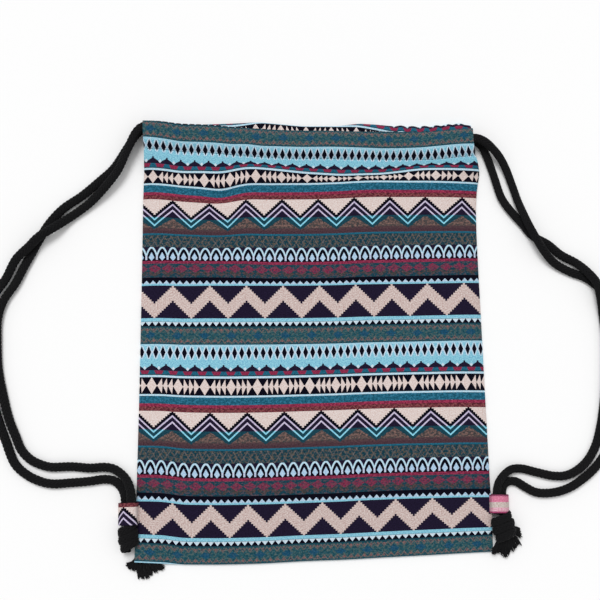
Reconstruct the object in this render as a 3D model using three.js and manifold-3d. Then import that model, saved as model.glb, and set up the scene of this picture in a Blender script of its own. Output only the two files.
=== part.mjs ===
// Drawstring backpack, empty and lying on its back. Two printed cotton panels are sewn into a flat
// sack. The mouth edge of each panel is turned over into a tunnel, and two cords run through both
// tunnels from opposite sides. Each cord comes back down the side of the bag as a shoulder strap and
// is knotted below a small cloth tab in the side seam.
// Units are millimetres: +X is the bag's right, +Y points to the mouth, +Z is up.

import * as THREE from "three";
import { mergeVertices } from "three/addons/utils/BufferGeometryUtils.js";
import Module from "manifold-3d";

const wasm = await Module();
wasm.setup();

// Driving dimensions of the bag
const HALF_LENGTH = 198;
const MOUTH_HALF_WIDTH = 152;
const BASE_FLARE = 6;
const BASE_BOW = 3;
const CLOTH = 0.8;
const SEAM_ALLOWANCE = 9;
const SEAM_GAP = 0.3;
const PUFF = 12;
const MOUTH_DIP = 9;
const MOUTH_GAP_END = 0.8;
const MOUTH_GAP_MIDDLE = 7.2;

// Driving dimensions of the tunnels
const TUNNEL_HALF_WIDTH = 11.5;
const TUNNEL_HEIGHT = 7.6;
const TUNNEL_HEM_END = 143;

// Driving dimensions of the cords: a flat braid
const CORD_WIDTH = 8.4;
const CORD_THICKNESS = 5;
const CORD_PITCH = 9.2;
const BACK_CORD_Z = 3.7;
const RUN_END = 140.6;
const RUN_TURN = 144.5;

// Driving dimensions of the tabs
const TAB_OUTER_X = 173.2;
const TAB_INNER_X = 158;
const TAB_HEIGHT = 12.6;
const TAB_FLANGE = 9;
const TABS = {
  left: { side: -1, top: -145, width: 19 },
  right: { side: 1, top: -144, width: 16 },
};

// The lower left corner of the bag rests on the frayed end of the left cord.
const CORNER_LIFT = 4.2;
const CORNER_LIFT_RADIUS = 36;

// Routes of the straps, from the tunnel's end down to the knot
const ROUTES = {
  left_strap_front: [
    [-141, 189.9, 13.1], [-152.6, 191.1, 12.2], [-158.5, 186, 11.8], [-165.5, 172.5, 10.5], [-175.5, 151, 8.6],
    [-186, 137.5, 7], [-201, 122.5, 3.8], [-219, 109, 3.8], [-233, 98.5, 7.9], [-244.5, 91, 8.4],
    [-253.5, 81.5, 8.4], [-264.5, 71.5, 5.6], [-274, 54.5, 2.8], [-284, 39, 2.8], [-289.5, 20.5, 2.8],
    [-290, -0.5, 2.8], [-288.5, -28, 2.8], [-283.5, -53, 2.8], [-278, -73, 2.8], [-272, -89, 2.8],
    [-264, -109, 2.8], [-256.5, -117, 2.8], [-246, -123.5, 2.8], [-233, -127.5, 2.8], [-214, -127, 2.8],
    [-198.5, -126, 2.8], [-186, -124.5, 2.8], [-177.5, -126, 2.9], [-171, -132, 3.2], [-168, -139.5, 3.9],
    [-167.4, -148, 3.9], [-167.4, -164.9, 3.9],
  ],
  left_strap_back: [
    [-141, 191.1, 3.7], [-152.6, 191.1, 3.7], [-159, 186.5, 3.5], [-167, 175, 3.3], [-180, 154.5, 3],
    [-191.5, 143.5, 2.8], [-207, 130, 2.8], [-224.5, 117.5, 2.8], [-237, 103.5, 2.8], [-244.5, 91, 2.8],
    [-250.5, 79.5, 2.8], [-257.5, 66.5, 2.8], [-266, 49.5, 2.8], [-275.5, 35, 2.8], [-280.5, 19, 2.8],
    [-281, -1, 2.8], [-279.5, -27, 2.8], [-274.5, -51.5, 2.8], [-269.5, -70.5, 2.8], [-263.5, -85.5, 2.8],
    [-258, -98, 2.8], [-250.5, -106, 2.8], [-242, -110.5, 2.8], [-233.5, -113, 2.8], [-214, -113, 2.8],
    [-198.5, -114.5, 2.8], [-186, -114, 2.8], [-177, -116, 3.4], [-168.5, -123, 5.8], [-164.2, -132, 8.4],
    [-163.2, -141, 8.9], [-163.2, -155, 8.9], [-163.2, -164.9, 8.9],
  ],
  right_strap_front: [
    [141, 180.7, 13.1], [152.6, 181.9, 12.2], [161, 178.5, 11.6], [168, 172.5, 10.2], [174.5, 166, 7.6],
    [181, 156, 4.4], [187, 140.5, 2.8], [192, 124.5, 3.4], [196.5, 111, 6.4], [200, 101.5, 8.2],
    [204.5, 92.5, 8.4], [212.5, 78.5, 7.9], [224, 66.5, 4], [239.5, 58, 2.8], [252.5, 53, 2.8],
    [262, 46.5, 2.8], [272, 36.5, 2.8], [277.5, 20.5, 2.8], [279, -2.5, 2.8], [278.5, -28.5, 2.8],
    [275.5, -61, 2.8], [271, -87, 2.8], [264.5, -109, 2.8], [253.5, -123, 2.8], [242.5, -132, 2.8],
    [230, -139.5, 2.8], [215, -143.5, 2.8], [199.5, -143, 2.8], [189.5, -138, 2.8], [181, -133, 2.8],
    [173.5, -133, 3], [169, -136.5, 3.6], [167.4, -142, 3.9], [167.4, -161, 3.9],
  ],
  right_strap_back: [
    [141, 181.9, 3.7], [152.6, 181.9, 3.7], [159, 177.5, 3.4], [164, 167.5, 3], [168, 156, 2.8],
    [171.5, 144.5, 2.8], [177, 127.5, 2.8], [185.5, 115, 2.8], [196, 103, 2.8], [204.5, 92.5, 2.8],
    [219, 84, 2.8], [231, 74, 2.8], [244.5, 66.5, 3.4], [254, 57, 7.6], [262, 46.5, 8.4],
    [264.5, 33.5, 8], [267.5, 19, 4], [269.5, -3, 2.8], [269, -28.5, 2.8], [266, -60, 2.8],
    [261.5, -85, 2.8], [255.5, -103.5, 2.8], [247, -116.5, 2.8], [237, -124.5, 2.8], [227, -128.5, 2.8],
    [215.5, -128.5, 2.8], [200.5, -125, 2.8], [186, -121.5, 2.8], [177, -122, 4.2], [169, -127, 7.2],
    [164.5, -134, 8.6], [163.2, -141, 8.9], [163.2, -152, 8.9], [163.2, -161, 8.9],
  ],
};

// Outlines of the frayed cord ends, seen from above
const LEFT_FRAY = [
  [-168, -180], [-163, -188], [-160.5, -195], [-166.5, -197], [-167, -201], [-160, -203.5], [-155, -210.5],
  [-147, -211.5], [-134, -203.5], [-149, -200], [-153.5, -192], [-160, -184],
];
const RIGHT_FRAY = [
  [161.5, -165], [160, -181], [160, -196], [164, -194.5], [169.5, -200], [173.5, -192.5], [179.5, -192.5],
  [184, -180.5], [181.5, -169.5], [174.5, -164],
];

const printedCotton = new THREE.MeshStandardMaterial({ color: 0x4f5f86, roughness: 0.92, metalness: 0 });
const tabCotton = new THREE.MeshStandardMaterial({ color: 0xb98a96, roughness: 0.92, metalness: 0 });
const braidedCord = new THREE.MeshStandardMaterial({ color: 0x17181a, roughness: 0.85, metalness: 0 });

// Closed solids are joined and cut as manifolds and come back as three.js geometry.
function toManifold(geometry) {
  const plain = geometry.clone();
  plain.deleteAttribute("normal");
  plain.deleteAttribute("uv");
  const merged = mergeVertices(plain, 1e-4);
  return new wasm.Manifold(new wasm.Mesh({
    numProp: 3,
    vertProperties: new Float32Array(merged.attributes.position.array),
    triVerts: new Uint32Array(merged.index.array),
  }));
}

function toGeometry(manifold) {
  const solid = manifold.getMesh();
  const geometry = new THREE.BufferGeometry();
  geometry.setAttribute("position", new THREE.BufferAttribute(new Float32Array(solid.vertProperties), 3));
  geometry.setIndex(new THREE.BufferAttribute(new Uint32Array(solid.triVerts), 1));
  geometry.computeVertexNormals();
  return geometry;
}

// A closed solid through a row of rings that all have the same number of points
function loft(rings) {
  const count = rings[0].length;
  const position = rings.flat(2);
  const index = [];
  for (let r = 0; r + 1 < rings.length; r += 1) {
    for (let k = 0; k < count; k += 1) {
      const a = r * count + k;
      const b = r * count + ((k + 1) % count);
      index.push(a, b, b + count, a, b + count, a + count);
    }
  }
  const outline = rings.map((ring) => ring.map((p) => new THREE.Vector2(p[1], p[2])));
  const last = (rings.length - 1) * count;
  for (const [a, b, c] of THREE.ShapeUtils.triangulateShape(outline[0], [])) {
    index.push(a, c, b);
  }
  for (const [a, b, c] of THREE.ShapeUtils.triangulateShape(outline[outline.length - 1], [])) {
    index.push(last + a, last + b, last + c);
  }
  const geometry = new THREE.BufferGeometry();
  geometry.setAttribute("position", new THREE.Float32BufferAttribute(position, 3));
  geometry.setIndex(index);
  return geometry;
}

const lerp = THREE.MathUtils.lerp;
const smoothstep = THREE.MathUtils.smoothstep;

// Outline of the sack: u runs from -1 at the left edge to 1 at the right edge.
function halfWidth(y) {
  const down = THREE.MathUtils.clamp((HALF_LENGTH - y) / (2 * HALF_LENGTH), 0, 1);
  return MOUTH_HALF_WIDTH + BASE_FLARE * Math.pow(down, 1.4);
}

function baseY(u) {
  return -HALF_LENGTH + BASE_BOW * u * u;
}

function cornerLift(x, y) {
  const reach = Math.hypot(x + halfWidth(y), y - baseY(-1));
  return CORNER_LIFT * smoothstep(CORNER_LIFT_RADIUS - reach, 0, CORNER_LIFT_RADIUS);
}

// Tunnel centre lines: the back one lies straight, the front one dips and lifts to open the mouth.
const TUNNEL_END_Y = HALF_LENGTH - TUNNEL_HALF_WIDTH;
const MIDDLE = (u) => 1 - u * u;

function frontTunnelY(u) {
  return TUNNEL_END_Y - MOUTH_DIP * MIDDLE(u);
}

function frontTunnelZ(u) {
  const gap = lerp(MOUTH_GAP_END, MOUTH_GAP_MIDDLE, MIDDLE(u));
  return 1.5 * TUNNEL_HEIGHT + gap;
}

// A flattened oval across the tunnel, or its upper half standing on a flat bottom
function ovalSection(halfW, height, steps, flatBottom) {
  const points = [];
  for (let k = 0; k < steps; k += 1) {
    const angle = (2 * Math.PI * k) / steps;
    const c = Math.cos(angle);
    const s = Math.sin(angle);
    const y = halfW * Math.sign(c) * Math.pow(Math.abs(c), 2 / 3);
    const z = 0.5 * height * Math.sign(s) * Math.pow(Math.abs(s), 2 / 3);
    points.push([y, z]);
  }
  if (!flatBottom) {
    return points;
  }
  const upper = points.slice(0, steps / 2 + 1);
  return upper.map(([y, z]) => [y, 2 * z]);
}

const ACROSS = [-1, -0.85, -0.7, -0.5, -0.25, 0, 0.25, 0.5, 0.7, 0.85, 1];

function tunnelTube(section, centreY, baseZ, stretch) {
  const rings = ACROSS.map((across) => {
    const u = stretch * across;
    return section.map(([y, z]) => [u * MOUTH_HALF_WIDTH, centreY(u) + y, baseZ(u) + z]);
  });
  return toManifold(loft(rings));
}

function boxAt(x0, x1, y0, y1, z0, z1) {
  const box = new THREE.BoxGeometry(x1 - x0, y1 - y0, z1 - z0);
  box.translate((x0 + x1) / 2, (y0 + y1) / 2, (z0 + z1) / 2);
  return toManifold(box);
}

// A sheet of cloth on a grid, thicker along the seams where its edge is turned in
const RIM_SIDE = SEAM_ALLOWANCE / MOUTH_HALF_WIDTH;
const RIM_BASE = SEAM_ALLOWANCE / (2 * HALF_LENGTH);
const SHEET_U = [
  -1, -1 + 0.94 * RIM_SIDE, -1 + RIM_SIDE, -0.85, -0.7, -0.5, -0.25, 0,
  0.25, 0.5, 0.7, 0.85, 1 - RIM_SIDE, 1 - 0.94 * RIM_SIDE, 1,
];
const SHEET_V = [
  0, 0.94 * RIM_BASE, RIM_BASE, 0.05, 0.09, 0.14, 0.2, 0.3, 0.45, 0.6, 0.72, 0.82, 0.9, 0.95, 0.98, 1,
];

function onSeam(u, v) {
  return Math.abs(u) > 1 - 0.97 * RIM_SIDE || v < 0.97 * RIM_BASE;
}

function sheet(topY, lowerZ, upperZ) {
  const rings = SHEET_U.map((u) => {
    const row = SHEET_V.map((v) => {
      const y = lerp(baseY(u), topY(u), v);
      return { u, v, y, x: u * halfWidth(y) };
    });
    const under = row.map((p) => [p.x, p.y, lowerZ(p)]);
    const over = row.map((p) => [p.x, p.y, upperZ(p)]).reverse();
    return under.concat(over);
  });
  return toManifold(loft(rings));
}

// Slots through the turned-in edges, where the tabs are caught in the side seams
function tabSlots() {
  return Object.values(TABS).map(({ side, top, width }) => {
    const inner = side * (TAB_INNER_X - TAB_FLANGE - 2);
    const outer = side * (TAB_INNER_X + 5);
    const x0 = Math.min(inner, outer);
    const x1 = Math.max(inner, outer);
    return boxAt(x0, x1, top - width - 0.5, top + 0.5, CLOTH, 3 * CLOTH + SEAM_GAP);
  });
}

function backPanel() {
  const joinY = () => TUNNEL_END_Y - TUNNEL_HALF_WIDTH + 2;
  const lower = ({ x, y }) => cornerLift(x, y);
  const upper = (p) => lower(p) + CLOTH * (onSeam(p.u, p.v) && p.v < 0.97 ? 2 : 1);
  const outer = ovalSection(TUNNEL_HALF_WIDTH, TUNNEL_HEIGHT, 24, true);
  const inner = ovalSection(TUNNEL_HALF_WIDTH - CLOTH, TUNNEL_HEIGHT - 2 * CLOTH, 24, true);
  const centreY = () => TUNNEL_END_Y;
  let panel = sheet(joinY, lower, upper);
  panel = panel.add(tunnelTube(outer, centreY, () => 0, 1));
  panel = panel.subtract(tunnelTube(inner, centreY, () => CLOTH, 1.1));
  for (const side of [-1, 1]) {
    const x0 = Math.min(side * TUNNEL_HEM_END, side * 165);
    panel = panel.subtract(boxAt(x0, x0 + 165 - TUNNEL_HEM_END, 165, 205, BACK_CORD_Z, 20));
  }
  for (const slot of tabSlots()) {
    panel = panel.subtract(slot);
  }
  return toGeometry(panel);
}

function frontPanel() {
  const joinY = (u) => frontTunnelY(u) - TUNNEL_HALF_WIDTH + 0.5;
  const seamZ = 3 * CLOTH + SEAM_GAP;
  const sheetZ = ({ u, v, x, y }) => {
    const across = 1 - Math.pow(Math.abs(u), 4);
    const puff = seamZ + cornerLift(x, y) + PUFF * across * smoothstep(v, 0, 0.22);
    const toTunnel = smoothstep(v, 0.75 + 0.19 * u * u, 1);
    return lerp(puff, frontTunnelZ(u) - CLOTH / 2, toTunnel);
  };
  const lower = (p) => sheetZ(p) - (onSeam(p.u, p.v) && p.v < 0.94 ? CLOTH : 0);
  const upper = (p) => sheetZ(p) + CLOTH;
  const outer = ovalSection(TUNNEL_HALF_WIDTH, TUNNEL_HEIGHT, 24, false);
  const inner = ovalSection(TUNNEL_HALF_WIDTH - CLOTH, TUNNEL_HEIGHT - 2 * CLOTH, 24, false);
  let panel = sheet(joinY, lower, upper);
  panel = panel.add(tunnelTube(outer, frontTunnelY, frontTunnelZ, 1));
  panel = panel.subtract(tunnelTube(inner, frontTunnelY, frontTunnelZ, 1.1));
  const endZ = frontTunnelZ(1);
  for (const side of [-1, 1]) {
    const x0 = Math.min(side * TUNNEL_HEM_END, side * 165);
    const cut = boxAt(x0, x0 + 165 - TUNNEL_HEM_END, TUNNEL_END_Y - 10.2, 205, 0, endZ);
    panel = panel.subtract(cut);
  }
  for (const slot of tabSlots()) {
    panel = panel.subtract(slot);
  }
  return toGeometry(panel);
}

// A flat strip folded round the two cords, both ends caught in the side seam
function tab({ side, top, width }) {
  const round = 4;
  const loop = (inset) => {
    const x0 = TAB_INNER_X + inset;
    const x1 = TAB_OUTER_X - inset;
    const z0 = 0.2 + inset;
    const z1 = TAB_HEIGHT - inset;
    const r = round - inset;
    const path = new THREE.Path();
    path.moveTo(x0, z0);
    path.lineTo(x1 - r, z0);
    path.absarc(x1 - r, z0 + r, r, -Math.PI / 2, 0, false);
    path.lineTo(x1, z1 - r);
    path.absarc(x1 - r, z1 - r, r, 0, Math.PI / 2, false);
    path.lineTo(x0 + r, z1);
    path.absarc(x0 + r, z1 - r, r, Math.PI / 2, Math.PI, false);
    path.lineTo(x0, z0);
    return path;
  };
  const section = new THREE.Shape(loop(0).getPoints(5));
  section.holes.push(new THREE.Path(loop(CLOTH).getPoints(5)));
  const band = new THREE.ExtrudeGeometry(section, { depth: width, bevelEnabled: false });
  band.rotateX(Math.PI / 2);
  band.translate(0, top, 0);
  const middle = 2 * CLOTH + SEAM_GAP / 2;
  const inner = TAB_INNER_X - TAB_FLANGE;
  const flange = boxAt(inner, TAB_INNER_X + CLOTH / 2, top - width, top, middle - 0.6, middle + 0.6);
  const solid = toManifold(band).add(flange);
  return toGeometry(side < 0 ? solid.mirror([1, 0, 0]) : solid);
}

// A braid swept along its route, with one ring at every route point
class Route extends THREE.CatmullRomCurve3 {
  getUtoTmapping(u) {
    return u;
  }
}

function braid(points) {
  const route = new Route(points.map((p) => new THREE.Vector3(...p)), false, "centripetal");
  const section = new THREE.Shape();
  section.absellipse(0, 0, CORD_THICKNESS / 2, CORD_WIDTH / 2, 0, 2 * Math.PI, false, 0);
  return new THREE.ExtrudeGeometry(section, {
    steps: points.length - 1,
    curveSegments: 6,
    extrudePath: route,
    bevelEnabled: false,
  });
}

// The hidden run of a cord: out through the front tunnel, round the far corner, back behind
function tunnelRun(side, offset) {
  const points = [];
  for (const x of [-RUN_END, -114, -76, -38, 0, 38, 76, 114, RUN_TURN - 2]) {
    const u = x / MOUTH_HALF_WIDTH;
    points.push([x, frontTunnelY(u) + offset, frontTunnelZ(u)]);
  }
  const endZ = frontTunnelZ(1);
  const radius = (endZ - BACK_CORD_Z) / 2;
  for (const angle of [0.25, 0.5, 0.75]) {
    const turn = angle * Math.PI;
    const z = (endZ + BACK_CORD_Z) / 2 + radius * Math.cos(turn);
    points.push([RUN_TURN + radius * Math.sin(turn), TUNNEL_END_Y + offset, z]);
  }
  for (const x of [RUN_TURN - 2, 114, 60, 0, -60, -114, -RUN_END]) {
    points.push([x, TUNNEL_END_Y + offset, BACK_CORD_Z]);
  }
  return braid(points.map(([x, y, z]) => [-side * x, y, z]));
}

// An overhand knot with the frayed cord ends spread flat below it
function knot(x, y, size, fray, frayHeight) {
  const lump = new THREE.SphereGeometry(1, 18, 12);
  lump.scale(...size);
  lump.translate(x, y, size[2] + 0.2);
  const wrap = new THREE.TorusGeometry(size[0] * 0.72, CORD_THICKNESS / 2, 10, 22);
  wrap.rotateX(0.6);
  wrap.translate(x, y, size[2] + 0.2);
  const outline = new THREE.Shape(fray.map((p) => new THREE.Vector2(...p)));
  const spread = new THREE.ExtrudeGeometry(outline, { depth: frayHeight, bevelEnabled: false });
  spread.translate(0, 0, 0.2);
  const solid = toManifold(lump).add(toManifold(wrap)).add(toManifold(spread));
  return toGeometry(solid);
}

const bag = new THREE.Group();
bag.name = "drawstring_backpack";

function addPiece(name, geometry, material) {
  const piece = new THREE.Mesh(geometry, material);
  piece.name = name;
  bag.add(piece);
}

addPiece("back_panel", backPanel(), printedCotton);
addPiece("front_panel", frontPanel(), printedCotton);
addPiece("left_tab", tab(TABS.left), tabCotton);
addPiece("right_tab", tab(TABS.right), tabCotton);
addPiece("left_cord_run", tunnelRun(-1, CORD_PITCH / 2), braidedCord);
addPiece("right_cord_run", tunnelRun(1, -CORD_PITCH / 2), braidedCord);
for (const [name, points] of Object.entries(ROUTES)) {
  addPiece(name, braid(points), braidedCord);
}
addPiece("left_knot", knot(-166.6, -176.4, [8.2, 10.2, 6.4], LEFT_FRAY, 1.8), braidedCord);
addPiece("right_knot", knot(168.2, -170.6, [8, 9.2, 6.2], RIGHT_FRAY, 4), braidedCord);

export default bag;
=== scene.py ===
# %% [markdown]
# # A drawstring backpack, laid flat on its back
# The bag is a flat sack of patterned cotton. Its mouth is turned over into a tunnel, front and back. Two long
# black cords run through both tunnels, come out at the top corners as shoulder straps, and end in knots below
# two small cloth tabs in the side seams. A measured solid model already says where every piece lies. This
# lesson dresses it: first the eye and the light, then cords, cloth, stitches and frayed ends.

# %% Load the measured frame
import math

import bpy
import numpy as np
from mathutils import Matrix, Vector


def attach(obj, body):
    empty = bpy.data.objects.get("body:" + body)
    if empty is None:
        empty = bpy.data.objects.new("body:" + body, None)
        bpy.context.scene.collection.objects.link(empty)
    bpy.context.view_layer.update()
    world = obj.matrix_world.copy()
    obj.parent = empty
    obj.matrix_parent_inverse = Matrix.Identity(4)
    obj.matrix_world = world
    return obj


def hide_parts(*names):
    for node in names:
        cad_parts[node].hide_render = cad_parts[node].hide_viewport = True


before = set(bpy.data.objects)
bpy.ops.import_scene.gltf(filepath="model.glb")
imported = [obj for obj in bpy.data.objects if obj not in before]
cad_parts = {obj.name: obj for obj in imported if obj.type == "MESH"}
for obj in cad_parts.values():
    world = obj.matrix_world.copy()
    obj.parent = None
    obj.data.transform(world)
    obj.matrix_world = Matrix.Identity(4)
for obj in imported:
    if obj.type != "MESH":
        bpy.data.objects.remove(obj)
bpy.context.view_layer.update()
MM = 0.001

# %% [markdown]
# ## The eye
# A photograph taken from about an arm's length above makes the far end of a rectangle look narrower. The camera
# is put where all four corners of a nearly square-cut bag fall on their places in the picture, so the bag itself
# needs no false taper. A small shift frames it off centre, as the picture does.

# %% Camera
EYE_DISTANCE = 0.8
EYE_TILT = (-0.0599, -0.0904)
EYE_ROLL = -0.0137

to_eye = Vector((math.sin(EYE_TILT[0]), math.sin(EYE_TILT[1]), 0.0))
to_eye.z = math.sqrt(1.0 - to_eye.length_squared)
level = (-to_eye).cross(Vector((0, 1, 0))).normalized()
upward = level.cross(-to_eye)
right = math.cos(EYE_ROLL) * level + math.sin(EYE_ROLL) * upward
up = math.cos(EYE_ROLL) * upward - math.sin(EYE_ROLL) * level

eye = bpy.data.objects.new("eye", bpy.data.cameras.new("eye"))
bpy.context.scene.collection.objects.link(eye)
place = Matrix((right, up, to_eye)).transposed().to_4x4()
place.translation = EYE_DISTANCE * to_eye
eye.matrix_world = place
eye.data.sensor_width = 36
eye.data.lens = 52.86
eye.data.shift_x = -0.0224
eye.data.shift_y = 0.0614
eye.data.clip_start = 0.01
bpy.context.scene.camera = eye
print("eye at, mm:", [round(v / MM, 1) for v in eye.location])

# %% [markdown]
# ## Floor and light
# The bag lies on a white sheet of paper under big soft lamps. A wide sun gives the folds a direction, and a
# plain white surround fills their shadows. Together they light a white surface to about one, so that each
# colour comes out as it is written.

# %% Floor and light
def in_linear(red, green, blue):
    """A colour as a screen shows it, 0 to 255, as the linear numbers that shaders use."""
    parts = [c / 255 for c in (red, green, blue)]
    return [c / 12.92 if c <= 0.04045 else ((c + 0.055) / 1.055) ** 2.4 for c in parts] + [1.0]


def new_material(name):
    made = bpy.data.materials.new(name)
    made.use_nodes = True
    return made, made.node_tree, made.node_tree.nodes["Principled BSDF"]


paper, _, paper_shader = new_material("white_paper")
paper_shader.inputs["Base Color"].default_value = (0.97, 0.97, 0.97, 1)
paper_shader.inputs["Roughness"].default_value = 1.0
paper_shader.inputs["Specular IOR Level"].default_value = 0.0
floor_mesh = bpy.data.meshes.new("floor")
floor_mesh.from_pydata([(-3, -3, 0), (3, -3, 0), (3, 3, 0), (-3, 3, 0)], [], [(0, 1, 2, 3)])
floor_mesh.materials.append(paper)
floor = bpy.data.objects.new("floor", floor_mesh)
bpy.context.scene.collection.objects.link(floor)

surround = bpy.data.worlds.new("surround")
bpy.context.scene.world = surround
surround.use_nodes = True
surround.node_tree.nodes["Background"].inputs["Color"].default_value = (1, 1, 1, 1)
surround.node_tree.nodes["Background"].inputs["Strength"].default_value = 0.58

sun = bpy.data.objects.new("soft_sun", bpy.data.lights.new("soft_sun", "SUN"))
bpy.context.scene.collection.objects.link(sun)
sun.data.energy = 1.65
sun.data.angle = math.radians(28)
sun.rotation_euler = (math.radians(-30), math.radians(-14), 0)
bpy.context.scene.view_settings.view_transform = "Standard"
print("lamp energy", sun.data.energy)

# %% [markdown]
# ## Writing node trees as sums
# A woven pattern and a braid are both rules: a stripe where a distance is small, a yarn that swings by a cosine.
# Such rules read best as plain arithmetic, so this small class lets a value in a node tree be added, multiplied
# and compared like a number. Every operation it meets becomes one Math node.

# %% Arithmetic on node sockets
class Wire:
    """One value in a node tree."""

    def __init__(self, tree, socket):
        self.tree = tree
        self.socket = socket

    def math(self, operation, *others):
        node = self.tree.nodes.new("ShaderNodeMath")
        node.operation = operation
        for socket, value in zip(node.inputs, (self, *others)):
            join(self.tree, value, socket)
        return Wire(self.tree, node.outputs[0])

    def __add__(self, other):
        return self.math("ADD", other)

    def __sub__(self, other):
        return self.math("SUBTRACT", other)

    def __mul__(self, other):
        return self.math("MULTIPLY", other)

    def __truediv__(self, other):
        return self.math("DIVIDE", other)

    def __abs__(self):
        return self.math("ABSOLUTE")

    def under(self, other):
        return self.math("LESS_THAN", other)

    def over(self, other):
        return self.math("GREATER_THAN", other)

    def near(self, middle, reach):
        return self.math("COMPARE", middle, reach)

    def swing(self, half):
        """Distance from the nearest multiple of twice this half period."""
        return self.math("PINGPONG", half)

    def stair(self, step):
        return self.math("SNAP", step)


def join(tree, value, socket):
    """Feed a socket from a wire, or set it to a plain value."""
    if isinstance(value, Wire):
        tree.links.new(value.socket, socket)
    elif value is not None:
        socket.default_value = value


def node(tree, kind, settings=None, **inputs):
    """Add a node, set its options, and feed its inputs by name with spaces as underscores."""
    made = tree.nodes.new(kind)
    for key, value in (settings or {}).items():
        setattr(made, key, value)
    for key, value in inputs.items():
        join(tree, value, made.inputs[key.replace("_", " ")])
    return made


def out(made, name=0):
    return Wire(made.id_data, made.outputs[name])


print("node arithmetic ready")

# %% [markdown]
# ## Where the cords lie
# Each strap is two strands of one cord, so there are four free strands. Their routes are lists of points chosen
# along the picture, in millimetres, close to those that the solid model follows: out of the tunnel mouth,
# down to the floor, over each other in low humps, and back up through the tab. A smooth curve goes through them.

# %% Routes of the four strands
STRANDS = {
    "left_strap_front": [
        (-141, 189.9, 13.1), (-152.6, 191.1, 12.2), (-158.5, 186, 11.8), (-165.5, 172.5, 10.5), (-175.5, 151, 8.6),
        (-186, 137.5, 7), (-201, 122.5, 3.8), (-219, 109, 3.8), (-233, 98.5, 7.9), (-244.5, 91, 8.4),
        (-253.5, 81.5, 8.4), (-264.5, 71.5, 5.6), (-274, 54.5, 2.8), (-284, 39, 2.8), (-289.5, 20.5, 2.8),
        (-290, -0.5, 2.8), (-288.5, -28, 2.8), (-283.5, -53, 2.8), (-278, -73, 2.8), (-272, -89, 2.8),
        (-264, -109, 2.8), (-256.5, -117, 2.8), (-246, -123.5, 2.8), (-233, -127.5, 2.8), (-214, -127, 2.8),
        (-198.5, -126, 2.8), (-186, -124.5, 2.8), (-177.5, -126, 2.9), (-171, -132, 3.2), (-168, -139.5, 3.9),
        (-167.4, -148, 3.9), (-167.4, -164.9, 3.9),
    ],
    "left_strap_back": [
        (-141, 191.1, 3.7), (-152.6, 191.1, 3.7), (-159, 186.5, 3.5), (-167, 175, 3.3), (-180, 154.5, 3),
        (-191.5, 143.5, 2.8), (-207, 130, 2.8), (-224.5, 117.5, 2.8), (-237, 103.5, 2.8), (-244.5, 91, 2.8),
        (-250.5, 79.5, 2.8), (-257.5, 66.5, 2.8), (-266, 49.5, 2.8), (-275.5, 35, 2.8), (-280.5, 19, 2.8),
        (-281, -1, 2.8), (-279.5, -27, 2.8), (-274.5, -51.5, 2.8), (-269.5, -70.5, 2.8), (-263.5, -85.5, 2.8),
        (-258, -98, 2.8), (-250.5, -106, 2.8), (-242, -110.5, 2.8), (-233.5, -113, 2.8), (-214, -113, 2.8),
        (-198.5, -114.5, 2.8), (-186, -114, 2.8), (-177, -116, 3.4), (-168, -123, 5.8), (-163, -132, 8.4),
        (-161.8, -141, 8.9), (-161.8, -155, 8.9), (-161.8, -164.9, 8.9),
    ],
    "right_strap_front": [
        (141, 180.7, 13.1), (152.6, 181.9, 12.2), (161, 178.5, 11.6), (168, 172.5, 10.2), (174.5, 166, 7.6),
        (181, 156, 4.4), (187, 140.5, 2.8), (192, 124.5, 3.4), (196.5, 111, 6.4), (200, 101.5, 8.2),
        (204.5, 92.5, 8.4), (212.5, 78.5, 7.9), (224, 66.5, 4), (239.5, 58, 2.8), (252.5, 53, 2.8),
        (262, 46.5, 2.8), (272, 36.5, 2.8), (277.5, 20.5, 2.8), (279, -2.5, 2.8), (278.5, -28.5, 2.8),
        (275.5, -61, 2.8), (271, -87, 2.8), (264.5, -109, 2.8), (253.5, -123, 2.8), (242.5, -132, 2.8),
        (230, -139.5, 2.8), (215, -143.5, 2.8), (199.5, -143, 2.8), (189.5, -138, 2.8), (181, -133, 2.8),
        (173.5, -133, 3), (169.4, -136.5, 3.6), (168, -142, 3.9), (168, -161, 3.9),
    ],
    "right_strap_back": [
        (141, 181.9, 3.7), (152.6, 181.9, 3.7), (159, 177.5, 3.4), (164, 167.5, 3), (168, 156, 2.8),
        (171.5, 144.5, 2.8), (177, 127.5, 2.8), (185.5, 115, 2.8), (196, 103, 2.8), (204.5, 92.5, 2.8),
        (219, 84, 2.8), (231, 74, 2.8), (244.5, 66.5, 3.4), (254, 57, 7.6), (262, 46.5, 8.4),
        (264.5, 33.5, 8), (267.5, 19, 4), (269.5, -3, 2.8), (269, -28.5, 2.8), (266, -60, 2.8),
        (261.5, -85, 2.8), (255.5, -103.5, 2.8), (247, -116.5, 2.8), (237, -124.5, 2.8), (227, -128.5, 2.8),
        (215.5, -128.5, 2.8), (200.5, -125, 2.8), (186, -121.5, 2.8), (177, -122, 4.2), (169, -127, 7.2),
        (163.6, -134, 8.6), (162, -141, 8.9), (162, -152, 8.9), (162, -161, 8.9),
    ],
}


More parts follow.
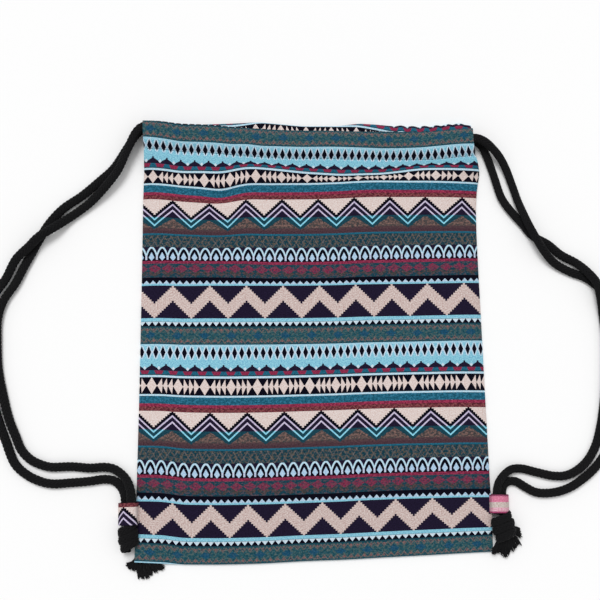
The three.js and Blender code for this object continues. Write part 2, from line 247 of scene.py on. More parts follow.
def smooth_route(points, step):
    """A smooth curve through given points, in metres, walked in equal steps."""
    picked = np.array(points, float) * MM
    gaps = np.linalg.norm(np.diff(picked, axis=0), axis=1) ** 0.5
    at = np.concatenate([[0], np.cumsum(gaps)])
    lean = np.gradient(picked, at, axis=0)
    fine = np.linspace(0, at[-1], 60 * len(picked))
    cell = np.clip(np.searchsorted(at, fine, side="right") - 1, 0, len(picked) - 2)
    span = (at[cell + 1] - at[cell])[:, None]
    f = ((fine - at[cell]) / span[:, 0])[:, None]
    curve = (
        (2 * f**3 - 3 * f**2 + 1) * picked[cell]
        + (f**3 - 2 * f**2 + f) * span * lean[cell]
        + (3 * f**2 - 2 * f**3) * picked[cell + 1]
        + (f**3 - f**2) * span * lean[cell + 1]
    )
    walked = np.concatenate([[0], np.cumsum(np.linalg.norm(np.diff(curve, axis=0), axis=1))])
    even = np.linspace(0, walked[-1], int(round(walked[-1] / step)) + 1)
    return np.stack([np.interp(even, walked, curve[:, k]) for k in range(3)], axis=1)


def route_length(path):
    return float(np.linalg.norm(np.diff(path, axis=0), axis=1).sum())


ROUTE_STEP = 2 * MM
paths = {name: smooth_route(points, ROUTE_STEP) for name, points in STRANDS.items()}
for name, path in paths.items():
    print(name, "is", round(route_length(path) / MM), "mm long")

# %% [markdown]
# ## The braid
# The cord is a flat braid: sixteen yarns go round it, half of them each way, each passing over two and under
# two. A bump map could fake that, but the silhouette would stay smooth as a hose. Geometry Nodes can lay the
# real yarns: copy the route sixteen times, push every copy out to its place on a flattened round, let it swing
# in and out where yarns cross, and give it thickness. A plain core fills the middle, as the padding does.

# %% Helpers for Geometry Nodes
def new_tree(name, inputs):
    """An empty tree with named inputs, its input wires by name, and its output node."""
    tree = bpy.data.node_groups.new(name, "GeometryNodeTree")
    tree.interface.new_socket("Geometry", in_out="OUTPUT", socket_type="NodeSocketGeometry")
    for label, kind, value in inputs:
        socket = tree.interface.new_socket(label, in_out="INPUT", socket_type="NodeSocket" + kind)
        if value is not None:
            socket.default_value = value
    start = tree.nodes.new("NodeGroupInput")
    wires = {label: Wire(tree, start.outputs[label]) for label, _, _ in inputs}
    return tree, wires, tree.nodes.new("NodeGroupOutput")


def vector_math(tree, operation, first, second=None, scale=None):
    made = node(tree, "ShaderNodeVectorMath", {"operation": operation})
    join(tree, first, made.inputs[0])
    if scale is not None:
        join(tree, scale, made.inputs["Scale"])
    elif second is not None:
        join(tree, second, made.inputs[1])
    return out(made)


def line_piece(name, path, face):
    """A chain of edges along a path. Each point carries the direction that the flat face looks in."""
    mesh = bpy.data.meshes.new(name)
    mesh.from_pydata([tuple(p) for p in path], [(k, k + 1) for k in range(len(path) - 1)], [])
    mesh.attributes.new("face", "FLOAT_VECTOR", "POINT").data.foreach_set("vector", np.array(face, float).ravel())
    piece = bpy.data.objects.new(name, mesh)
    bpy.context.scene.collection.objects.link(piece)
    return piece


def run_nodes(piece, tree, values):
    """Evaluate a tree on a piece and keep the result as the piece's own plain mesh."""
    modifier = piece.modifiers.new(tree.name, "NODES")
    modifier.node_group = tree
    for item in tree.interface.items_tree:
        if item.item_type == "SOCKET" and item.in_out == "INPUT" and item.name in values:
            modifier[item.identifier] = values[item.name]
    seen = piece.evaluated_get(bpy.context.evaluated_depsgraph_get())
    made = bpy.data.meshes.new_from_object(seen)
    made.name = piece.name
    piece.modifiers.remove(modifier)
    piece.data = made
    return piece


def triangles(piece):
    return sum(len(p.vertices) - 2 for p in piece.data.polygons)


print("node helpers ready")


# %% Braid tree
CORD_WIDTH = 8.4 * MM
CORD_THICKNESS = 5 * MM


def braid_tree():
    tree, given, end = new_tree("flat_braid", [
        ("Path", "Geometry", None),
        ("Yarns Each Way", "Int", 8),
        ("Width", "Float", CORD_WIDTH),
        ("Thickness", "Float", CORD_THICKNESS),
        ("Lay", "Float", 28 * MM),
        ("Yarn", "Float", 0.95 * MM),
        ("Swing", "Float", 0.32 * MM),
        ("Step", "Float", 1.4 * MM),
        ("Sides", "Int", 6),
        ("Material", "Material", None),
    ])
    curve = node(tree, "GeometryNodeMeshToCurve", Mesh=given["Path"])
    even = node(tree, "GeometryNodeResampleCurve", {"mode": "LENGTH"}, Curve=out(curve), Length=given["Step"])
    copies = node(tree, "GeometryNodeDuplicateElements", {"domain": "SPLINE"}, Geometry=out(even),
                  Amount=given["Yarns Each Way"] * 2)
    number = out(copies, "Duplicate Index")
    way = number.math("MODULO", 2.0) * -2.0 + 1.0
    which = (number / 2.0).math("FLOOR")
    along = out(node(tree, "GeometryNodeSplineParameter"), "Length") / given["Lay"]
    turn = (which / given["Yarns Each Way"] + way * along) * math.tau
    crossing = way * along * given["Yarns Each Way"] * 2.0 + which * 2.0 - 0.5
    lift = (crossing * (math.pi / 2)).math("COSINE") * way * given["Swing"]
    inset = given["Yarn"] + given["Swing"]
    wide = (given["Width"] * 0.5 - inset + lift) * turn.math("COSINE")
    high = (given["Thickness"] * 0.5 - inset + lift) * turn.math("SINE")
    tangent = out(node(tree, "GeometryNodeInputTangent"))
    face = out(node(tree, "GeometryNodeInputNamedAttribute", {"data_type": "FLOAT_VECTOR"}, Name="face"))
    sideways = vector_math(tree, "NORMALIZE", vector_math(tree, "CROSS_PRODUCT", tangent, face))
    upright = vector_math(tree, "CROSS_PRODUCT", sideways, tangent)
    push = vector_math(tree, "ADD", vector_math(tree, "SCALE", sideways, scale=wide),
                       vector_math(tree, "SCALE", upright, scale=high))
    laid = node(tree, "GeometryNodeSetPosition", Geometry=out(copies), Offset=push)
    ring = node(tree, "GeometryNodeCurvePrimitiveCircle", {"mode": "RADIUS"}, Resolution=given["Sides"],
                Radius=given["Yarn"])
    yarns = node(tree, "GeometryNodeCurveToMesh", Curve=out(laid), Profile_Curve=out(ring), Fill_Caps=True)
    fat = node(tree, "GeometryNodeCurvePrimitiveCircle", {"mode": "RADIUS"}, Resolution=10,
               Radius=given["Thickness"] * 0.5 - inset)
    core = node(tree, "GeometryNodeCurveToMesh", Curve=out(even), Profile_Curve=out(fat), Fill_Caps=True)
    both = node(tree, "GeometryNodeJoinGeometry")
    tree.links.new(out(core).socket, both.inputs[0])
    tree.links.new(out(yarns).socket, both.inputs[0])
    real = node(tree, "GeometryNodeRealizeInstances", Geometry=out(both))
    soft = node(tree, "GeometryNodeSetShadeSmooth", Geometry=out(real))
    dyed = node(tree, "GeometryNodeSetMaterial", Geometry=out(soft), Material=given["Material"])
    tree.links.new(out(dyed).socket, end.inputs[0])
    return tree


braid = braid_tree()
print("braid tree has", len(braid.nodes), "nodes")

# %% [markdown]
# ## Black cord
# The cord is matt black cotton with a little grey in it where the fibres catch the light. A fine noise along
# the yarns breaks up the black, and sheen stands for the fuzz that a raking light shows.

# %% Cord material
black_cord, cord_tree, cord_shader = new_material("black_cord")
where = out(node(cord_tree, "ShaderNodeTexCoord"), "Object")
fibres = node(cord_tree, "ShaderNodeTexNoise", Vector=where, Scale=900.0, Detail=3.0, Roughness=0.7)
shades = node(cord_tree, "ShaderNodeMix", {"data_type": "RGBA"})
join(cord_tree, out(fibres), shades.inputs["Factor"])
shades.inputs[6].default_value = in_linear(6, 6, 7)
shades.inputs[7].default_value = in_linear(22, 22, 24)
cord_tree.links.new(shades.outputs[2], cord_shader.inputs["Base Color"])
cord_shader.inputs["Roughness"].default_value = 0.8
cord_shader.inputs["Specular IOR Level"].default_value = 0.15
cord_shader.inputs["Sheen Weight"].default_value = 0.05
cord_shader.inputs["Sheen Roughness"].default_value = 0.4
fuzz = node(cord_tree, "ShaderNodeBump", Strength=0.35, Distance=0.0002, Height=out(fibres))
cord_tree.links.new(fuzz.outputs[0], cord_shader.inputs["Normal"])

# %% Four free strands
ROLL_ANGLE = 0.22
ROLL_LENGTH = 31 * MM
strands = {}
for name, path in paths.items():
    roll = ROLL_ANGLE * np.sin(np.arange(len(path)) * ROUTE_STEP / ROLL_LENGTH + len(strands))
    heading = np.gradient(path, axis=0)
    side = np.stack([heading[:, 1], -heading[:, 0]], axis=1)
    side /= np.linalg.norm(side, axis=1)[:, None]
    face = np.concatenate([side * np.sin(roll)[:, None], np.cos(roll)[:, None]], axis=1)
    strand = run_nodes(line_piece(name + "_braid", path, face), braid, {"Material": black_cord})
    strands[name] = strand
    print(strand.name, triangles(strand), "triangles")
# %% [markdown]
# ## The pattern on the cotton
# The cloth carries an old kind of striped pattern: rows of triangles, diamonds, stepped hills, feathers, chevrons
# and arches between plain lines, repeated down the cloth. It could be painted as a picture, but a picture blurs
# when it is looked at closely. Here each row is a rule on two numbers that the cloth's own map gives: how far
# across and how far down the cloth a point is, both counted in ticks of the drawn pattern. The order matters:
# the plain stripes come first, and each row of shapes is painted over them.

# %% Colours and rows of plain stripe
TICK = 0.8765 * MM
REPEAT = 219.5
INK = in_linear(7, 6, 22)
NAVY = in_linear(30, 23, 46)
WHITE = in_linear(206, 224, 236)
CREAM = in_linear(224, 208, 203)
SAND = in_linear(208, 189, 184)
SKY = in_linear(138, 199, 219)
PALE_SKY = in_linear(190, 220, 236)
TEAL = in_linear(32, 98, 122)
DEEP_TEAL = in_linear(24, 66, 80)
SLATE = in_linear(40, 86, 96)
CRIMSON = in_linear(140, 44, 74)
MAROON = in_linear(104, 44, 54)
BRICK = in_linear(74, 52, 60)
BROWN = in_linear(92, 78, 76)
ROSE = in_linear(150, 92, 90)
LILAC = in_linear(204, 194, 220)

STRIPES = [
    (3.5, INK), (8.2, DEEP_TEAL), (9.4, SLATE), (25.4, DEEP_TEAL), (26.5, SKY), (53.2, TEAL), (56.9, DEEP_TEAL),
    (58.0, PALE_SKY), (60.1, CREAM), (77.2, PALE_SKY), (79, TEAL), (86.6, CRIMSON), (89.6, MAROON), (94.1, CREAM),
    (127, BRICK), (130.2, TEAL), (132, DEEP_TEAL), (144.7, INK), (159.4, CRIMSON), (162.4, DEEP_TEAL), (177.3, INK),
    (184.1, SKY), (186, NAVY),
]


class Print:
    """Paints rows of simple shapes on the cloth, one over the other."""

    def __init__(self, tree):
        self.tree = tree
        mapped = out(node(tree, "ShaderNodeUVMap", {"uv_map": "cloth"}))
        parts = node(tree, "ShaderNodeSeparateXYZ", Vector=mapped)
        self.across = out(parts, "X") / TICK
        self.down = (out(parts, "Y") / TICK).math("FLOORED_MODULO", REPEAT)
        flecks = node(tree, "ShaderNodeTexNoise", Vector=vector_math(tree, "MULTIPLY", mapped, (430.0, 540.0, 1.0)),
                      Scale=1.0, Detail=2.0, Roughness=0.7)
        self.fleck = out(flecks)
        ground = node(tree, "ShaderNodeRGB")
        ground.outputs[0].default_value = SKY
        self.colour = ground.outputs[0]
        for row, colour in STRIPES:
            self.paint(self.down.over(row), colour)

    def paint(self, mask, colour):
        mix = node(self.tree, "ShaderNodeMix", {"data_type": "RGBA"}, Factor=mask)
        self.tree.links.new(self.colour, mix.inputs[6])
        mix.inputs[7].default_value = colour
        self.colour = mix.outputs[2]

    def off(self, period, centre):
        """Distance across from the middle of the nearest of a row of shapes."""
        return (self.across - centre).swing(period / 2)

    def rows(self, first, last):
        return self.down.near((first + last) / 2, (last - first) / 2)

    def heather(self, mask, light, dark):
        """Yarn of mixed colour: light flecks and dark flecks in a row."""
        self.paint(mask * self.fleck.over(0.54) * 0.75, light)
        self.paint(mask * self.fleck.under(0.46) * 0.75, dark)


print(len(STRIPES) + 1, "stripes in a repeat of", round(REPEAT * TICK / MM, 1), "mm")


# %% Rows of triangles, diamonds and hills
def paint_triangles(cloth):
    tooth = cloth.off(6.8, 2.5)
    cloth.paint((tooth * 1.25 + cloth.down).under(8.0) * cloth.rows(3.8, 8.2), WHITE)
    tooth = cloth.off(6.8, 6.7)
    cloth.paint((cloth.down - tooth * 1.1).over(180.5) * cloth.rows(180, 184.2), in_linear(182, 206, 226))


def paint_diamonds_and_hills(cloth):
    beside = cloth.off(7.2, 5.4) / 2.6 + abs(cloth.down - 34.8) / 6.4
    cloth.paint(beside.near(1.25, 0.25) * cloth.rows(28.2, 41.6) * 0.8, in_linear(210, 224, 240))
    cloth.paint(cloth.rows(26.5, 28.6) * 0.45, PALE_SKY)
    cloth.paint(beside.under(1.0), INK)
    peak = cloth.off(14.4, 8.6)
    slope = peak * 0.58 + peak.over(0.95) * 1.1
    cloth.paint((cloth.down - slope).over(46.4) * cloth.rows(46, 53.2), NAVY)
    valley = cloth.off(14.4, 1.4)
    cloth.paint((valley / 1.8 + abs(cloth.down - 50.8) / 1.9).under(1.0), WHITE)
    cloth.paint((valley + (cloth.down - 53.2) * 0.5).under(4.9) * cloth.rows(53.3, 56.9), CRIMSON)


def paint_feathers(cloth):
    beside = cloth.off(53, 21.3) / 53.0
    into = abs(cloth.down - 68.65) / -8.45 + 1.0
    for left, tip, right in ((0.001, 0.095, 0.108), (0.109, 0.194, 0.212), (0.212, 0.29, 0.305), (0.301, 0.398, 0.495)):
        inside = beside.over(into * (tip - left) + left - 0.004) * beside.under(into * (tip - right) + right + 0.004)
        cloth.paint(inside * into.under(0.93) * cloth.rows(60.1, 77.2), INK)


print("upper rows ready")


# %% Rows of chevrons, arches and zigzag
def paint_chevrons(cloth):
    beside = cloth.off(37.3, 5.9)
    band = cloth.rows(94.1, 127)
    steps = (beside + 1.03).stair(2.07) * 0.93
    navy = (cloth.down - steps).over(93.2) * band
    cloth.paint(navy, INK)
    cloth.paint((cloth.down - beside * 0.93).over(98.4) * band, NAVY)
    cloth.paint(navy * cloth.down.over(112.8), DEEP_TEAL)
    hill = (cloth.down - beside * 0.66 + cloth.fleck * 3.0).over(115.2) * band
    cloth.paint(hill, BROWN)
    cloth.heather(hill, in_linear(134, 104, 96), in_linear(56, 60, 62))
    cloth.paint(hill * (cloth.down + cloth.fleck * 6.0).over(127.4) * 0.8, BRICK)
    for apex in (98.4, 104.6):
        line = abs(cloth.down - beside * 0.93 - apex).under(1.0) * band
        cloth.paint(line, LILAC)
        cloth.paint(line * cloth.down.over(113.0), in_linear(140, 212, 234))


def paint_arches(cloth):
    beside = cloth.off(10.93, 9.9)
    bow = cloth.down - beside * beside * 0.3 - 145.5
    band = cloth.rows(144.7, 159.4)
    cloth.paint(bow.under(0.0) * band, NAVY)
    arch = (abs(bow) / (beside * 0.5 + 1.0)).under(0.74)
    cloth.paint(arch * cloth.rows(144.7, 157.4), PALE_SKY)
    cloth.paint(beside.over(4.5) * cloth.rows(153.6, 158.4), in_linear(196, 206, 228))
    drop = ((cloth.down - 150.2) / 5.4).math("MINIMUM", (cloth.down - 159.5) / -3.4)
    cloth.paint(beside.under(drop * 2.8) * band, in_linear(180, 208, 232))


def paint_zigzag(cloth):
    steps = (cloth.off(37.3, 6.0) + 1.03).stair(2.07) * 0.99
    cloth.paint((cloth.down - steps).near(193.8, 7.7) * cloth.rows(186, 219.5), SAND)


print("lower rows ready")


# %% Heathered rows of small mixed shapes
def paint_mosaics(cloth):
    first = cloth.rows(9.4, 25.4)
    cloth.heather(first, in_linear(84, 98, 96), in_linear(24, 66, 80))
    small = cloth.off(6.8, 1.0)
    for middle, lean in ((14.4, 1.25), (20.8, -1.25)):
        cloth.paint(abs(cloth.down + small * lean - middle).under(0.7) * first * 0.6, in_linear(128, 104, 96))
    for row in (11.6, 23.3):
        cloth.paint((small + abs(cloth.down - row)).under(1.5) * cloth.fleck.over(0.47) * 0.7, ROSE)
    gem = cloth.off(27.2, -2.6) / 6.4 + abs(cloth.down - 17.4) / 4.0 + cloth.fleck * 0.6
    cloth.paint(gem.under(1.2) * first * 0.7, in_linear(20, 74, 108))

    second = cloth.rows(132.4, 144.7)
    for lean in (0.62, -0.62):
        cloth.paint((cloth.across + cloth.down * lean).swing(3.45).under(0.6) * second * 0.7, in_linear(116, 106, 106))
    cloth.heather(second, in_linear(96, 84, 70), in_linear(16, 52, 64))

    third = cloth.rows(162.4, 177.3)
    flag = cloth.off(13.6, 1.5) / 6.8
    cloth.paint((flag + abs(cloth.down - 172.0) / 5.0).under(1.0) * third, in_linear(72, 64, 58))
    cloth.paint((flag + abs(cloth.down - 167.8) / 4.6).under(1.0) * third, in_linear(136, 40, 72))
    cloth.heather(third, in_linear(92, 74, 84), in_linear(20, 62, 78))
    cloth.heather(cloth.rows(159.4, 162.4), in_linear(150, 58, 86), in_linear(98, 36, 60))

    cloth.heather(cloth.rows(79, 86.6), in_linear(56, 122, 152), in_linear(24, 78, 100))
    cloth.heather(cloth.rows(86.6, 89.6), in_linear(170, 62, 90), in_linear(116, 40, 62))
    lamp = cloth.off(7.4, 1.0)
    cloth.paint(abs(cloth.down - 90.2 - lamp * 0.95).under(0.7) * cloth.rows(89.6, 94.1) * 0.6, ROSE)
    cloth.heather(cloth.rows(89.6, 94.1), in_linear(134, 72, 76), in_linear(78, 32, 42))


print("mixed rows ready")

# %% [markdown]
# ## Cotton
# Under the pattern lies a plain weave of thick yarn, and no yarn is dyed quite evenly. A stretched noise gives
# each thread its own shade, a coarser one makes the heathered rows mottled, and a raised grid of threads catches
# the light. The wrong side of the cloth shows the same pattern washed out.

# %% Cotton material
def finish_cotton(tree, shader, colour):
    """Uneven yarn, a raised weave and a dull surface over a flat colour."""
    mapped = out(node(tree, "ShaderNodeUVMap", {"uv_map": "cloth"}))
    thread = node(tree, "ShaderNodeTexNoise", Vector=vector_math(tree, "MULTIPLY", mapped, (760.0, 1050.0, 1.0)),
                  Scale=1.0, Detail=2.0, Roughness=0.6)
    shade = node(tree, "ShaderNodeMix", {"data_type": "RGBA", "blend_type": "OVERLAY"}, Factor=0.6)
    tree.links.new(colour, shade.inputs[6])
    join(tree, out(thread) * 1.9 - 0.47, shade.inputs[7])
    tree.links.new(shade.outputs[2], shader.inputs["Base Color"])
    shader.inputs["Roughness"].default_value = 0.92
    shader.inputs["Specular IOR Level"].default_value = 0.06
    shader.inputs["Sheen Weight"].default_value = 0.03
    parts = node(tree, "ShaderNodeSeparateXYZ", Vector=mapped)
    warp = (out(parts, "X") * (math.tau / (0.62 * MM))).math("SINE")
    weft = (out(parts, "Y") * (math.tau / (0.5 * MM))).math("SINE")
    bump = node(tree, "ShaderNodeBump", Strength=0.5, Distance=0.00012, Height=warp * weft + out(thread) * 1.5)
    tree.links.new(bump.outputs[0], shader.inputs["Normal"])


def printed(name, wash):
    made, tree, shader = new_material(name)
    cloth = Print(tree)
    for row in (paint_triangles, paint_diamonds_and_hills, paint_feathers, paint_chevrons, paint_arches, paint_zigzag,
                paint_mosaics):
        row(cloth)
    if wash:
        cloth.paint(wash, in_linear(188, 182, 184))
    finish_cotton(tree, shader, cloth.colour)
    return made


printed_cotton = printed("printed_cotton", 0.0)
washed_cotton = printed("printed_cotton_wrong_side", 0.55)
print("printed cotton uses", len(printed_cotton.node_tree.nodes), "nodes")


# %% [markdown]
# ## The two panels of the sack
# Front and back are cut alike, joined along the sides and the base with the edges turned in, and turned over at
# the mouth into the cord tunnel. The cloth hardly stretches, so where it rises into a fold it covers less of the
# floor and its pattern closes up. That is how the front panel is shaped here: for each column of the cloth, a
# height is chosen along its length, and the rest of each step goes into moving forward. Under the gathered tunnel
# more cloth is lost in small puckers, and a short list says how much between which rows of the pattern. A small
# loss below zero is a slight stretch.

# %% Outline and cloth sheet
HALF_LENGTH = 198.0
MOUTH_HALF_WIDTH = 152.0
BASE_FLARE = 6.0
CLOTH = 0.8
BASE_ROW = 465.3
TUNNEL_REACH = 12.4
HEM_ENDS = (-143.0, 108.0)
BASE_LINE = [
    (-160, -196), (-147, -197.2), (-120, -199.7), (-83, -200.6), (-47, -200.5), (-10, -199.2), (26, -198.8),
    (62, -197.6), (98, -196.6), (134, -195.4), (160, -194.8),
]
LEFT_EDGE = [
    (-200, 1.2), (-150, 1.3), (-60, 0.8), (60, 0.6), (125, 0.6), (144, 0.2), (162, -0.4), (181, -0.4), (195, 0.6),
]
RIGHT_EDGE = [
    (-200, 0.8), (-150, 0.9), (0, 0), (88, -0.8), (116, -0.4), (135, 1.2), (144.6, 3.2), (152, 4.5), (161.7, 1.4),
    (171, -2.8), (178, -3.6), (187, -3.4), (197, -2.2),
]


def half_width(y):
    down = np.clip((HALF_LENGTH - y) / (2 * HALF_LENGTH), 0, 1)
    return MOUTH_HALF_WIDTH + BASE_FLARE * down**1.4


def smooth_step(value, low, high):
    f = np.clip((value - low) / (high - low), 0, 1)
    return f * f * (3 - 2 * f)


def hand_line(points, x, soften):
    """A line drawn through points, with its corners rounded off."""
    picked = np.array(points, float)
    offsets = np.linspace(-1.6, 1.6, 17) * soften
    weights = np.exp(-np.linspace(-1.6, 1.6, 17) ** 2)
    values = [np.interp(x + shift, picked[:, 0], picked[:, 1]) for shift in offsets]
    return np.tensordot(weights / weights.sum(), np.array(values), axes=1)


def side_shift(u, y):
    """How far the worn side seams wander from the straight cut."""
    right = hand_line(RIGHT_EDGE, y, 5) * smooth_step(u, 0.55, 1)
    return right - hand_line(LEFT_EDGE, y, 5) * smooth_step(-u, 0.55, 1)


def seam_lift(u, x, y):
    """The lower left corner rests on the frayed end of the left cord, and the seams rise where the tabs go in."""
    reach = np.hypot(x + half_width(y), y + HALF_LENGTH - 3)
    at_tab = smooth_step(16 - np.abs(y + 154), 0, 8) * smooth_step(np.abs(u), 0.93, 1)
    return 4.2 * smooth_step(36 - reach, 0, 36), 2.2 * at_tab


def cloth_sheet(name, grid, cloth_map, print_side, keep, cloths):
    """A sheet of cloth from a grid of middle points in mm: two faces, closed all round, with a map of the cloth."""
    step_a, step_b = np.gradient(grid, axis=0), np.gradient(grid, axis=1)
    normal = np.cross(step_a, step_b)
    normal /= np.linalg.norm(normal, axis=2)[..., None]
    count = grid.shape[0] * grid.shape[1]
    right_side = (grid + 0.5 * CLOTH * print_side * normal).reshape(-1, 3)
    wrong_side = (grid - 0.5 * CLOTH * print_side * normal).reshape(-1, 3)
    number = np.arange(count).reshape(grid.shape[:2])
    quads = np.stack([number[:-1, :-1], number[1:, :-1], number[1:, 1:], number[:-1, 1:]], axis=-1)[keep]
    if print_side < 0:
        quads = quads[:, ::-1]
    edges = np.concatenate([quads[:, [k, (k + 1) % 4]] for k in range(4)])
    once = ~np.isin(edges[:, 0] * count + edges[:, 1], edges[:, 1] * count + edges[:, 0])
    start, stop = edges[once].T
    rim = np.stack([stop, start, start + count, stop + count], axis=1)
    faces = np.concatenate([quads, quads[:, ::-1] + count, rim])
    used, faces = np.unique(faces, return_inverse=True)
    faces = faces.reshape(-1, 4)
    mesh = bpy.data.meshes.new(name)
    mesh.from_pydata((np.concatenate([right_side, wrong_side])[used] * MM).tolist(), [], faces.tolist())
    spread = np.concatenate([cloth_map.reshape(-1, 2)] * 2)[used] * MM
    mesh.uv_layers.new(name="cloth").data.foreach_set("uv", spread[faces.ravel()].ravel())
    for cloth in cloths:
        mesh.materials.append(cloth)
    turned = np.zeros(len(faces), np.int32)
    turned[len(quads) : 2 * len(quads)] = 1
    mesh.polygons.foreach_set("material_index", turned)
    mesh.polygons.foreach_set("use_smooth", np.ones(len(faces), bool))
    mesh.set_sharp_from_angle(angle=math.radians(60))
    mesh.validate()
    piece = bpy.data.objects.new(name, mesh)
    bpy.context.scene.collection.objects.link(piece)
    return piece


u = np.linspace(-1, 1, 153)
mouth_x = u * MOUTH_HALF_WIDTH
base_y = hand_line(BASE_LINE, u * (MOUTH_HALF_WIDTH + BASE_FLARE), 10)
print("mouth and base width, mm:", 2 * half_width(HALF_LENGTH), 2 * half_width(-HALF_LENGTH))

# %% Heights of the front panel
FRONT_FOLD = [
    (-152, 196.2), (-135, 195.6), (-121, 192.8), (-100, 192), (-65, 188.8), (-29, 186.2), (35, 185.6), (108, 185.8),
    (144, 190.4), (152, 191),
]
CREASES = [
    # across, reach across, along the cloth from the base, depth, crest before it
    (55, 46, 358, 5.0, 3.2),
    (-36, 36, 373, 4.5, 3.6),
    (-83, 15, 332, 2.6, 1.4),
    (112, 26, 367, 3.0, 2.0),
]
PUCKER_SOFTEN = 7
STITCH_DROP = 2.3
TUNNEL_RISE, TUNNEL_SAG = 4.2, 3.4
RIGHT_PULL = 2.6
CORNER_LEAD = 1.3
PUCKERED_ROWS = [
    # rows of the pattern that the puckers lie between, and cloth lost there across the bag, mm
    (464, 400, [
        (-152, 1.6), (-132, 0.1), (-90, 0.2), (-47, 0.3), (-26, 0.7), (-5, 0.9), (37, 0.6), (79, 1.2), (121, 2.5),
        (152, 4),
    ]),
    (330, 200, [
        (-152, 0), (-132, -0.2), (-111, -1), (-90, -1.6), (-47, -1.4), (-5, -0.5), (79, 0), (121, -0.9), (152, -2.4),
    ]),
    (188, 168, [(-152, 0.8), (-111, 0), (-69, 0.5), (-47, 1.8), (16, 2), (58, 1.4), (100, 0.9), (142, 0.5)]),
    (183, 78, [
        (-147, 1.2), (-132, 2.6), (-120, 4), (-100, 5.6), (-86, 7.4), (-79, 7), (-70, 4), (-58, 1.4), (-10, 1.4),
        (26, 1.2), (58, 0.6), (100, 0.6), (142, 1.2),
    ]),
    (78, 59, [(-147, 2.8), (-120, 3.7), (-83, 1), (-47, 2.7), (-10, 6.3), (26, 9), (62, 9), (98, 5), (134, 4.6)]),
    (59, 39, [
        (-147, 0), (-120, 0.2), (-83, 0.8), (-69, 4.8), (-47, 7.6), (-10, 4.6), (26, 2.4), (58, 4.6), (100, 8.2),
        (121, 6.4), (142, 4.6),
    ]),
]


def front_line(x):
    """Middle of the front tunnel: how far up the bag and how high."""
    away = 1 - (np.asarray(x) / MOUTH_HALF_WIDTH) ** 2
    height = 12.2 + 5.2 * away + 0.45 * np.sin(np.asarray(x) / 8.0) * away
    return hand_line(FRONT_FOLD, x, 9) - TUNNEL_REACH, height


def ripple(x, t):
    """Slight unevenness of cloth that has been folded and worn."""
    return (
        0.5 * np.sin(x / 23.0 + t / 61.0 + 0.7)
        + 0.45 * np.sin(x / 41.0 - t / 37.0 + 2.1)
        + 0.3 * np.sin(x / 11.0 + t / 29.0 + 4.0) * smooth_step(t, 250, 380)
    )


def front_height(u, t, stitch_t, stitch_z):
    x = u * 155
    puff = 1.6 + 10.5 * (1 - np.abs(u) ** 3.4) ** 0.7 * smooth_step(t, -6, 88)
    inner = 1 - np.abs(u) ** 6
    height = puff + inner * ripple(x, t) * smooth_step(t, 0, 60)
    for across, reach, along, depth, crest in CREASES:
        window = np.exp(-(((x - across) / reach) ** 2))
        dip = depth * np.exp(-(((t - along) / 6.5) ** 2)) - crest * np.exp(-(((t - along + 17) / 15) ** 2))
        height = height - window * dip
    lead = 26 + 20 * (1 - u**2)
    return height + (stitch_z - height) * smooth_step(t, stitch_t - lead, stitch_t)


print("front tunnel middle, mm:", [np.round(v, 1).tolist() for v in front_line(np.array([-140.0, 0.0, 140.0]))])


# %% Front panel
def steps_forward(t, z):
    """What is left of each step along the cloth after its rise and its puckers."""
    step = np.diff(t, axis=1)
    ahead = np.sqrt(np.maximum(step**2 - np.diff(z, axis=1) ** 2, (0.3 * step) ** 2))
    middle = 0.5 * (t[:, 1:] + t[:, :-1])
    for low_row, high_row, lost in PUCKERED_ROWS:
        first, last = [(BASE_ROW - row) * TICK / MM for row in (low_row, high_row)]
        blur = 0.22 * (last - first)
        share = smooth_step(middle, first, first + blur) * (1 - smooth_step(middle, last - blur, last)) * step
        inside = (middle > first) & (middle < last)
        wanted = hand_line(lost, mouth_x, PUCKER_SOFTEN) - ((step - ahead) * inside).sum(axis=1)
        ahead = ahead - wanted[:, None] * share / share.sum(axis=1)[:, None]
    return np.maximum(ahead, 0.12 * step)


